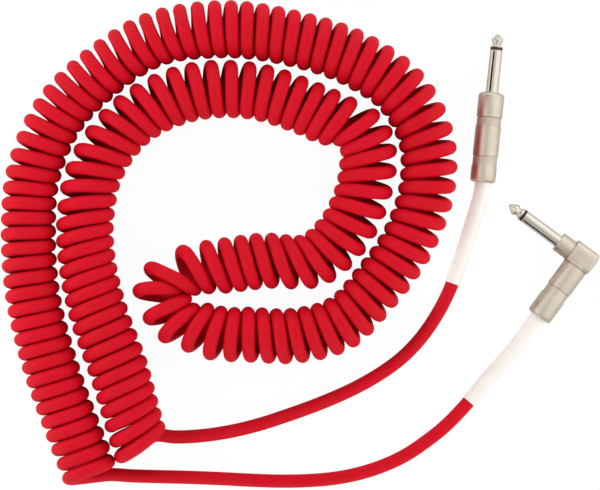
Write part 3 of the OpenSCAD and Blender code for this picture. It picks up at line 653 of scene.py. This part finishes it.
def grooved_sleeve_tree():
    """Adds a closed sleeve about +Z whose outside is cut by two sets of grooves.

    Each set winds round the sleeve a whole number of times and repeats along it at
    its pitch: one right-handed set makes a screw thread, and two crossing sets make
    a diamond knurl.
    """
    tree = bpy.data.node_groups.new("grooved_sleeve", "GeometryNodeTree")
    socket(tree, "Body", "NodeSocketGeometry")
    for name in ("Start", "Length", "Outside radius", "Inside radius", "Groove depth",
                 "First pitch", "Second pitch"):
        socket(tree, name, "NodeSocketFloat", 0.001)
    for name in ("First winds", "Second winds"):
        socket(tree, name, "NodeSocketFloat", 1.0)
    for name in ("Columns", "Rows"):
        socket(tree, name, "NodeSocketInt", 16)
    socket(tree, "Finish", "NodeSocketMaterial")
    tree.interface.new_socket(name="Body", in_out="OUTPUT", socket_type="NodeSocketGeometry")
    given = add(tree, "NodeGroupInput").outputs

    across = maths(tree, "ADD", given["Columns"], 1)
    down = maths(tree, "ADD", given["Rows"], 4)
    grid = add(tree, "GeometryNodeMeshGrid", {
        "Size X": 1.0, "Size Y": 1.0, "Vertices X": across, "Vertices Y": down,
    })
    place = add(tree, "ShaderNodeSeparateXYZ",
                {0: add(tree, "GeometryNodeInputPosition").outputs[0]})
    round_share = maths(tree, "ADD", place.outputs["X"], 0.5)
    last_row = maths(tree, "ADD", given["Rows"], 3)
    row = maths(tree, "ROUND", maths(
        tree, "MULTIPLY", maths(tree, "ADD", place.outputs["Y"], 0.5), last_row))

    # Rows 1 to the last but two lie outside; the others make the ends and the bore
    outside = maths(tree, "MULTIPLY",
                    maths(tree, "GREATER_THAN", row, 0.5),
                    maths(tree, "LESS_THAN", row, maths(tree, "ADD", given["Rows"], 1.5)))
    back = maths(tree, "LESS_THAN", row, maths(tree, "ADD", given["Rows"], 2.5))
    share = maths(tree, "DIVIDE", maths(tree, "SUBTRACT", row, 1), given["Rows"])
    share = add(tree, "ShaderNodeClamp", {"Value": share}).outputs[0]
    distance = maths(tree, "MULTIPLY", maths(tree, "MULTIPLY", share, back), given["Length"])

    def groove(winds, pitch):
        phase = maths(tree, "ADD",
                      maths(tree, "MULTIPLY", round_share, winds),
                      maths(tree, "DIVIDE", distance, pitch))
        return maths(tree, "PINGPONG", maths(tree, "MULTIPLY", phase, 2), 1)

    deepest = maths(tree, "MAXIMUM",
                    groove(given["First winds"], given["First pitch"]),
                    groove(given["Second winds"], given["Second pitch"]))
    cut = maths(tree, "SUBTRACT", given["Outside radius"],
                maths(tree, "MULTIPLY", deepest, given["Groove depth"]))
    radius = add(tree, "GeometryNodeSwitch", {
        0: maths(tree, "GREATER_THAN", outside, 0.5), 1: given["Inside radius"], 2: cut,
    }, input_type="FLOAT").outputs[0]
    turn = maths(tree, "MULTIPLY", round_share, 2 * math.pi)
    wrapped = add(tree, "ShaderNodeCombineXYZ", {
        "X": maths(tree, "MULTIPLY", radius, maths(tree, "COSINE", turn)),
        "Y": maths(tree, "MULTIPLY", radius, maths(tree, "SINE", turn)),
        "Z": maths(tree, "ADD", given["Start"], distance),
    }).outputs[0]
    rolled = add(tree, "GeometryNodeSetPosition", {
        "Geometry": grid.outputs["Mesh"], "Position": wrapped,
    }).outputs[0]
    closed = add(tree, "GeometryNodeMergeByDistance",
                 {"Geometry": rolled, "Distance": 1e-7}).outputs[0]
    smooth = add(tree, "GeometryNodeSetShadeSmooth", {"Geometry": closed}).outputs[0]
    both = add(tree, "GeometryNodeJoinGeometry")
    tree.links.new(smooth, both.inputs[0])
    tree.links.new(given["Body"], both.inputs[0])
    real = add(tree, "GeometryNodeRealizeInstances", {0: both.outputs[0]}).outputs[0]
    dressed = add(tree, "GeometryNodeSetMaterial",
                  {"Geometry": real, "Material": given["Finish"]}).outputs[0]
    add(tree, "NodeGroupOutput", {"Body": dressed})
    return tree


grooved_sleeve = grooved_sleeve_tree()


def grow(piece, tree, **sizes):
    """Run a Geometry Nodes tree on a piece and keep the result as its mesh."""
    modifier = piece.modifiers.new(tree.name, "NODES")
    modifier.node_group = tree
    wanted = {name.replace("_", " "): value for name, value in sizes.items()}
    for item in tree.interface.items_tree:
        if item.item_type == "SOCKET" and item.in_out == "INPUT" and item.name in wanted:
            modifier[item.identifier] = wanted.pop(item.name)
    assert not wanted, wanted
    graph = bpy.context.evaluated_depsgraph_get()
    grown = bpy.data.meshes.new_from_object(piece.evaluated_get(graph))
    piece.modifiers.remove(modifier)
    piece.data = grown
    return piece


def threaded(piece, finish, start, length, outside):
    """Cut a right-hand screw thread on a piece, about +Z."""
    return grow(
        piece, grooved_sleeve, Start=start, Length=length, Outside_radius=outside,
        Inside_radius=outside - thread_depth - 0.05 * MM, Groove_depth=thread_depth,
        First_pitch=thread_pitch, First_winds=-1.0, Second_pitch=thread_pitch,
        Second_winds=-1.0, Columns=72, Rows=int(8 * length / thread_pitch), Finish=finish
    )


def satin_nickel_on(name, turn):
    """Satin nickel plate, with the faint rings of the lathe square to the plug.

    Bead-blasted brass under nickel: a warm grey metal that spreads a highlight wide,
    with a fine even grain and slightly brighter and duller patches.
    """
    made, tree, shader, coordinates = finish_named(name, Metallic=1.0)
    patchy = noise(tree, coordinates, 6 * MM)
    tree.links.new(blended(tree, between(tree, patchy, 0, 1), "#DED3C2", "#D6CBB9"),
                   shader.inputs["Base Color"])
    tree.links.new(between(tree, patchy, 0.38, 0.44), shader.inputs["Roughness"])
    turned_to = add(tree, "ShaderNodeMapping", {
        "Vector": coordinates, "Rotation": (0, 0, -turn), "Scale": (1, 0.06, 0.06),
    }).outputs[0]
    rings = noise(tree, turned_to, 0.25 * MM)
    blasted = noise(tree, coordinates, 0.18 * MM)
    height = maths(tree, "ADD", maths(tree, "MULTIPLY", rings, 0.6), blasted)
    tree.links.new(bumped(tree, height, 0.004 * MM), shader.inputs["Normal"])
    return made


straight_satin = satin_nickel_on(
    "satin_nickel_straight", math.atan2(straight_rearward[1], straight_rearward[0])
)

collar = turned("straight_collar_finished", soften([
    (-0.5, 3.41, 0), (-0.5, 4.2, 0.15), (0.02, 4.2, 0.1), (0.02, 4.75, 0),
    (0, 4.8, 0), (0, 6.6, 1.85), (12.2, 6.6, 0.15), (12.2, 5.9, 0), (12.3, 5.9, 0),
    (12.3, 4.68, 0),
    (18.2, 4.68, 0), (18.2, 4.2, 0), (8, 4.2, 0), (8, 3.41, 0),
]))
threaded(collar, straight_satin, 12.32 * MM, 5.95 * MM, 5.25 * MM)
collar.data.transform(straight_behind)
dress(collar, straight_satin)
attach(collar, "cable")
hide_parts("straight_collar")


# --- Straight plug's handle -----------------------------------------------------
# A turned brass sleeve with two diamond-knurled bands sunk for the fingers, plated
# like the collar. It screws on the collar and covers the solder joints.

# The real knurl is too fine to show, so this one is coarser and cut deeper
knurl_count = 26.0
knurl_rise = 1.4 * MM
knurl_depth = 0.48 * MM

handle = turned("straight_handle_finished", soften([
    (12.4, 5.3, 0), (12.4, 5.8, 0), (16.5, 5.8, 0), (16.5, 6.2, 0), (16.75, 6.2, 0),
    (16.9, 6.5, 0.15), (32.25, 6.5, 0.15), (32.35, 5.8, 0), (32.75, 5.8, 0),
    (32.75, 5.95, 0),
    (37.0, 5.95, 0), (37.0, 6.2, 0), (37.2, 6.2, 0), (37.35, 6.5, 0.15),
    (45.8, 6.5, 1.9), (45.8, 4.6, 0.2), (43.5, 4.6, 0), (43.5, 5.3, 0),
]))
for start, length in ((12.6, 4.0), (32.65, 4.45)):
    grow(
        handle, grooved_sleeve, Start=start * MM, Length=length * MM,
        Outside_radius=6.3 * MM, Inside_radius=5.7 * MM, Groove_depth=knurl_depth,
        First_pitch=knurl_rise, First_winds=knurl_count, Second_pitch=knurl_rise,
        Second_winds=-knurl_count, Columns=int(8 * knurl_count),
        Rows=int(8 * length * MM / knurl_rise), Finish=straight_satin
    )
handle.data.transform(straight_behind)
dress(handle, straight_satin)
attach(handle, "straight_handle")
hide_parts("straight_handle")


# --- Right-angle plug's contacts ------------------------------------------------
# The same tip, ring and sleeve contact, on a rod that ends inside the drum.

angle_tipward_axis = np.array(mounts["angle_jack"]["axis"])
neck_len = 14.5 * MM
angle_front = angle_start + angle_tipward_axis * neck_len
angle_tipward = along_axis(angle_front, angle_tipward_axis)
angle_behind = along_axis(angle_start, angle_rearward)
add_contacts(
    "angle", angle_tipward, reach=31.5, length=8.3, nose=4.1, neck=2.1,
    root_end=0, rod_end=-12.5
)


# --- Right-angle plug's elbow ---------------------------------------------------
# One turned and bored brass body, plated: a round neck that holds the sleeve contact
# meets a squared drum with a domed far end, which turns the corner, grows round again
# and carries the handle's thread.

angle_satin = satin_nickel_on(
    "satin_nickel_angle", math.atan2(angle_rearward[1], angle_rearward[0])
)


weld = 0.001 * MM


def carve(piece, other, operation):
    """Join another closed piece to this one, or cut it away, and use it up."""
    modifier = piece.modifiers.new(operation.lower(), "BOOLEAN")
    modifier.operation = operation
    modifier.object = other
    modifier.solver = "EXACT"
    graph = bpy.context.evaluated_depsgraph_get()
    carved = bpy.data.meshes.new_from_object(piece.evaluated_get(graph))
    piece.modifiers.remove(modifier)
    mesh = bmesh.new()
    mesh.from_mesh(carved)
    bmesh.ops.remove_doubles(mesh, verts=mesh.verts, dist=weld)
    mesh.to_mesh(carved)
    mesh.free()
    piece.data = carved
    bpy.data.objects.remove(other)
    return piece


def squared(piece, power_at):
    """Square up a piece that is round about +Z, by a power for each place and radius.

    A power of 2 leaves a section round, and one of 4 makes it a rounded square.
    """
    for corner in piece.data.vertices:
        radius = math.hypot(corner.co.x, corner.co.y)
        power = power_at(corner.co.z / MM, radius / MM)
        if power > 2 and radius > 0:
            x, y = abs(corner.co.x) / radius, abs(corner.co.y) / radius
            grown = (x**power + y**power) ** (-1 / power)
            corner.co.x *= grown
            corner.co.y *= grown


elbow = turned("angle_elbow_finished", soften([
    (0, 0, 0), (0, 5.15, 0.3), (-7.85, 5.15, 0.08), (-7.85, 4.8, 0), (-8, 4.8, 0),
    (-8, 6.5, 0.15), (-20.9, 6.5, 1.1), (-21.65, 4.4, 1), (-21.95, 0, 0),
]))
# All past the groove is drum, but the groove's floor, 4.8 mm in radius, stays round
squared(elbow, lambda place, radius: 4 if place < -7.95 and abs(radius - 4.8) > 0.01 else 2)
elbow.data.transform(angle_tipward)

# The drum ends at the seam, where the handle starts
behind_seam = turned("behind_seam", soften([(5.3, 0, 0), (5.3, 12, 0), (9, 12, 0), (9, 0, 0)]))
behind_seam.data.transform(angle_behind)
carve(elbow, behind_seam, "DIFFERENCE")

spigot = turned("spigot", soften([
    (0.2, 0, 0), (0.2, 6.45, 0), (2.5, 6.55, 0), (5.35, 6.65, 0.15), (5.35, 6.2, 0),
    (5.5, 6.2, 0), (5.5, 4.68, 0), (11.4, 4.68, 0), (11.4, 0, 0),
]))
squared(spigot, lambda place, radius: 4 - place * 0.4 if radius > 6.3 else 2)
spigot.data.transform(angle_behind)
carve(elbow, spigot, "UNION")
hollow = turned("hollow", soften([(-4.5, 0, 0), (-4.5, 4.2, 0), (11.6, 4.2, 0), (11.6, 0, 0)]))
hollow.data.transform(angle_behind)
carve(elbow, hollow, "DIFFERENCE")
seat = turned("seat", soften([(1, 0, 0), (1, 3.41, 0), (-8, 3.41, 0), (-8, 2.61, 0),
                              (-13, 2.61, 0), (-13, 0, 0)]))
seat.data.transform(angle_tipward)
carve(elbow, seat, "DIFFERENCE")
elbow.data.transform(angle_behind.inverted())
threaded(elbow, angle_satin, 5.52 * MM, 5.95 * MM, 5.25 * MM)
elbow.data.transform(angle_behind)
elbow.data.shade_smooth()
elbow.data.set_sharp_from_angle(angle=math.radians(35))
dress(elbow, angle_satin)
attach(elbow, "cable")
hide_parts("angle_elbow")


# --- Right-angle plug's handle --------------------------------------------------
# A turned brass sleeve with one shallow plain band, plated like the elbow, screwed
# on the drum's thread.

angle_handle = turned("angle_handle_finished", soften([
    (5.6, 5.3, 0), (5.6, 5.8, 0), (5.75, 5.8, 0), (5.75, 6.55, 0.15), (19.85, 6.55, 0.1),
    (19.95, 5.7, 0), (20.2, 5.7, 0), (20.2, 6.2, 0.06), (24.7, 6.2, 0.06),
    (24.8, 6.55, 0.12), (37.2, 6.55, 1.7), (37.2, 4.6, 0.2),
    (34.9, 4.6, 0), (34.9, 5.3, 0),
]))
angle_handle.data.transform(angle_behind)
dress(angle_handle, angle_satin)
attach(angle_handle, "angle_handle")
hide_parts("angle_handle")


# --- Inside both plugs ----------------------------------------------------------
# What the handles cover: insulators, solder lugs, cord clamps, liners and the bared
# ends of the cord's wires.

# Moulded nylon: ivory white, faintly mottled and a little waxy.
nylon, tree, shader, coordinates = finish_named("natural_nylon", IOR=1.53)
mottled = noise(tree, coordinates, 1.5 * MM)
tree.links.new(blended(tree, mottled, "#E9E3D2", "#DAD3BF"), shader.inputs["Base Color"])
tree.links.new(between(tree, mottled, 0.35, 0.5), shader.inputs["Roughness"])

# Pressed spring brass: yellow, lightly tarnished, with a rolled grain.
brass, tree, shader, coordinates = finish_named("spring_brass", Metallic=1.0)
tarnished = noise(tree, coordinates, 2 * MM)
tree.links.new(blended(tree, tarnished, "#CDB069", "#B49450"), shader.inputs["Base Color"])
tree.links.new(between(tree, tarnished, 0.22, 0.4), shader.inputs["Roughness"])

# Hot-dipped tin over brass: pale grey, slightly pooled.
tin, tree, shader, coordinates = finish_named("tinned_brass", Metallic=1.0)
pooled = noise(tree, coordinates, 1.2 * MM)
tree.links.new(blended(tree, pooled, "#CFCBC2", "#BDB8AC"), shader.inputs["Base Color"])
tree.links.new(between(tree, pooled, 0.2, 0.35), shader.inputs["Roughness"])
tree.links.new(bumped(tree, pooled, 0.02 * MM), shader.inputs["Normal"])

# Rolled fibre liner: near black, matt, with a papery grain.
fibre, tree, shader, coordinates = finish_named("rolled_fibre", IOR=1.5)
papery = noise(tree, coordinates, 0.4 * MM)
tree.links.new(blended(tree, papery, "#262422", "#32302D"), shader.inputs["Base Color"])
tree.links.new(between(tree, papery, 0.6, 0.75), shader.inputs["Roughness"])

# Polyethylene wire insulation: cloudy cream, soft sheen.
polythene, tree, shader, coordinates = finish_named("polythene_insulation", IOR=1.51)
clouded = noise(tree, coordinates, 1 * MM)
tree.links.new(blended(tree, clouded, "#EAE4D0", "#DDD5BC"), shader.inputs["Base Color"])
tree.links.new(between(tree, clouded, 0.4, 0.5), shader.inputs["Roughness"])

# Bare copper strands, gathered and twisted: bright salmon, with painted shade for the hollows between strands,
# darker where the noise of its bumps is high.
copper, tree, shader, coordinates = finish_named("copper_strands", Metallic=1.0)
twisted = noise(tree, coordinates, 0.3 * MM)
tree.links.new(blended(tree, twisted, "#D08A5E", "#9C5B36"), shader.inputs["Base Color"])
tree.links.new(between(tree, twisted, 0.25, 0.4), shader.inputs["Roughness"])
tree.links.new(bumped(tree, twisted, 0.05 * MM), shader.inputs["Normal"])

inner_finishes = {
    "straight_rod_tube": phenolic, "angle_rod_tube": phenolic,
    "straight_washer": nylon, "angle_bush": nylon,
    "straight_lug": tin, "angle_lug": tin,
    "straight_clamp": brass, "angle_clamp": brass,
    "straight_liner": fibre, "angle_liner": fibre,
    "straight_core_wire": polythene, "angle_core_wire": polythene,
    "straight_shield_tail": copper, "angle_shield_tail": copper,
}
for node, finish in inner_finishes.items():
    dress(frame["nodes"][node], finish)


# --- Surface and light ----------------------------------------------------------
# A plain white surface that shows white to the eye and keeps a little of the cable's
# shadow, with four soft lamps round it, in a pale room.

surface_mesh = bpy.data.meshes.new("surface")
reach = 4
surface_mesh.from_pydata(
    [(-reach, -reach, 0), (reach, -reach, 0), (reach, reach, 0), (-reach, reach, 0)],
    [], [(0, 1, 2, 3)]
)
surface = bpy.data.objects.new("surface", surface_mesh)
bpy.context.scene.collection.objects.link(surface)
paper, tree, shader, coordinates = finish_named("white_surface", Roughness=0.9)
shader.inputs["Base Color"].default_value = linear("#DADADA")
rays = add(tree, "ShaderNodeLightPath").outputs
shown_white = 0.92
shown_strength = 1.04
seen = maths(tree, "MULTIPLY", rays["Is Camera Ray"], shown_white)
white = add(tree, "ShaderNodeEmission", {"Color": (1, 1, 1, 1), "Strength": shown_strength})
mixed = add(tree, "ShaderNodeMixShader", {0: seen, 1: shader.outputs[0], 2: white.outputs[0]})
tree.links.new(mixed.outputs[0], tree.nodes["Material Output"].inputs["Surface"])
dress(surface, paper)

# Square lamps that face the middle of the loop: place, and how bright next to white
softbox_size = 0.35
for name, place, radiance in (
    ("left_softbox", (-0.5, 0.05, 0.25), 2.4),
    ("right_softbox", (0.5, 0.05, 0.25), 2.2),
    ("far_softbox", (0, 0.5, 0.25), 1.0),
    ("near_softbox", (0, -0.5, 0.25), 1.0),
):
    data = bpy.data.lights.new(name, "AREA")
    data.size = softbox_size
    data.energy = radiance * math.pi * softbox_size**2
    lamp = bpy.data.objects.new(name, data)
    lamp.location = loop_middle + Vector(place)
    lamp.rotation_euler = (loop_middle - lamp.location).to_track_quat("-Z", "Y").to_euler()
    lamp.visible_glossy = False
    bpy.context.scene.collection.objects.link(lamp)

# Matt card, which polished metal shows as a dark or a pale line
black_card, tree, shader, coordinates = finish_named("black_card", Roughness=1.0)
shader.inputs["Base Color"].default_value = linear("#0C0906")
white_card, tree, shader, coordinates = finish_named("white_card", Roughness=1.0)
shader.inputs["Base Color"].default_value = linear("#F2F0EC")

# Each card faces a plug's axis, at a turn in degrees from straight up. Its place along
# the axis, its distance from it, and its half length and half width are in mm.
for name, card, plug, place, turn, distance, half_length, half_width in (
    ("straight_plug_black_card", black_card, straight_tipward, 23, 47, 80, 19, 26),
    ("straight_plug_white_card", white_card, straight_tipward, 21, 82, 30, 20, 9),
    ("angle_plug_black_card", black_card, angle_tipward, 9, 78, 30, 13, 9),
    ("angle_plug_white_card", white_card, angle_tipward, 52, 70, 12, 14, 12),
):
    turn = math.radians(turn)
    out = plug.to_3x3() @ Vector((math.sin(turn), math.cos(turn), 0))
    along = plug.to_3x3() @ Vector((0, 0, 1))
    across = along.cross(out)
    middle = plug @ Vector((0, 0, place * MM)) + out * distance * MM
    corners = [middle + along * half_length * MM * i + across * half_width * MM * j
               for i, j in ((-1, -1), (1, -1), (1, 1), (-1, 1))]
    piece = new_piece(name, corners, [(0, 1, 2, 3)])
    dress(piece, card)
    piece.visible_camera = False
    piece.visible_diffuse = False
    piece.visible_shadow = False

# Upright glowing panel beside the straight plug's strain relief. Only dull pieces see
# it, and it lifts the red shade that the curls throw on the sleeve.
panel_glow, tree, shader, coordinates = finish_named(
    "panel_glow", Emission_Color=(1, 1, 1, 1), Emission_Strength=0.4
)
first = loop_middle + Vector((0.078, 0.036, 0))
last = loop_middle + Vector((0.062, -0.03, 0))
up = Vector((0, 0, 30 * MM))
piece = new_piece("straight_sleeve_panel", [first, last, last + up, first + up], [(0, 1, 2, 3)])
dress(piece, panel_glow)
piece.visible_camera = False
piece.visible_glossy = False
piece.visible_shadow = False

# The room is white to the eye. It lights dull pieces most from low down all round, and
# metal sees it brighter to the right, with a paler patch to the left and one beyond.
world = bpy.data.worlds.new("room")
world.use_nodes = True
tree = world.node_tree
background = tree.nodes["Background"]
background.inputs["Color"].default_value = (1, 1, 1, 1)
rays = add(tree, "ShaderNodeLightPath").outputs
direction = add(tree, "ShaderNodeTexCoord").outputs["Generated"]


def towards(aim, low, high, low_at, high_at):
    """A number that runs from low to high as a direction turns towards the aim."""
    aim = Vector(aim).normalized()
    turned_to = add(tree, "ShaderNodeVectorMath", {0: direction, 1: tuple(aim)},
                    operation="DOT_PRODUCT").outputs["Value"]
    return between(tree, turned_to, low, high, low_at, high_at)


for_colour = towards((0, 0, 1), 1.4, 0.42, 0.4, 0.72)
for_metal = maths(tree, "ADD", towards((0.8, 0.1, 0.55), 0.53, 1.16, 0.45, 0.85),
                  maths(tree, "ADD", towards((-0.85, 0.1, 0.5), 0, 0.75, 0.7, 0.95),
                        towards((0, 0.9, 0.4), 0, 0.6, 0.72, 0.95)))
glossy = rays["Is Glossy Ray"]
room = maths(tree, "ADD", maths(tree, "MULTIPLY", for_metal, glossy),
             maths(tree, "MULTIPLY", for_colour, maths(tree, "SUBTRACT", 1, glossy)))
tree.links.new(maths(tree, "MAXIMUM", rays["Is Camera Ray"], room), background.inputs["Strength"])
bpy.context.scene.world = world
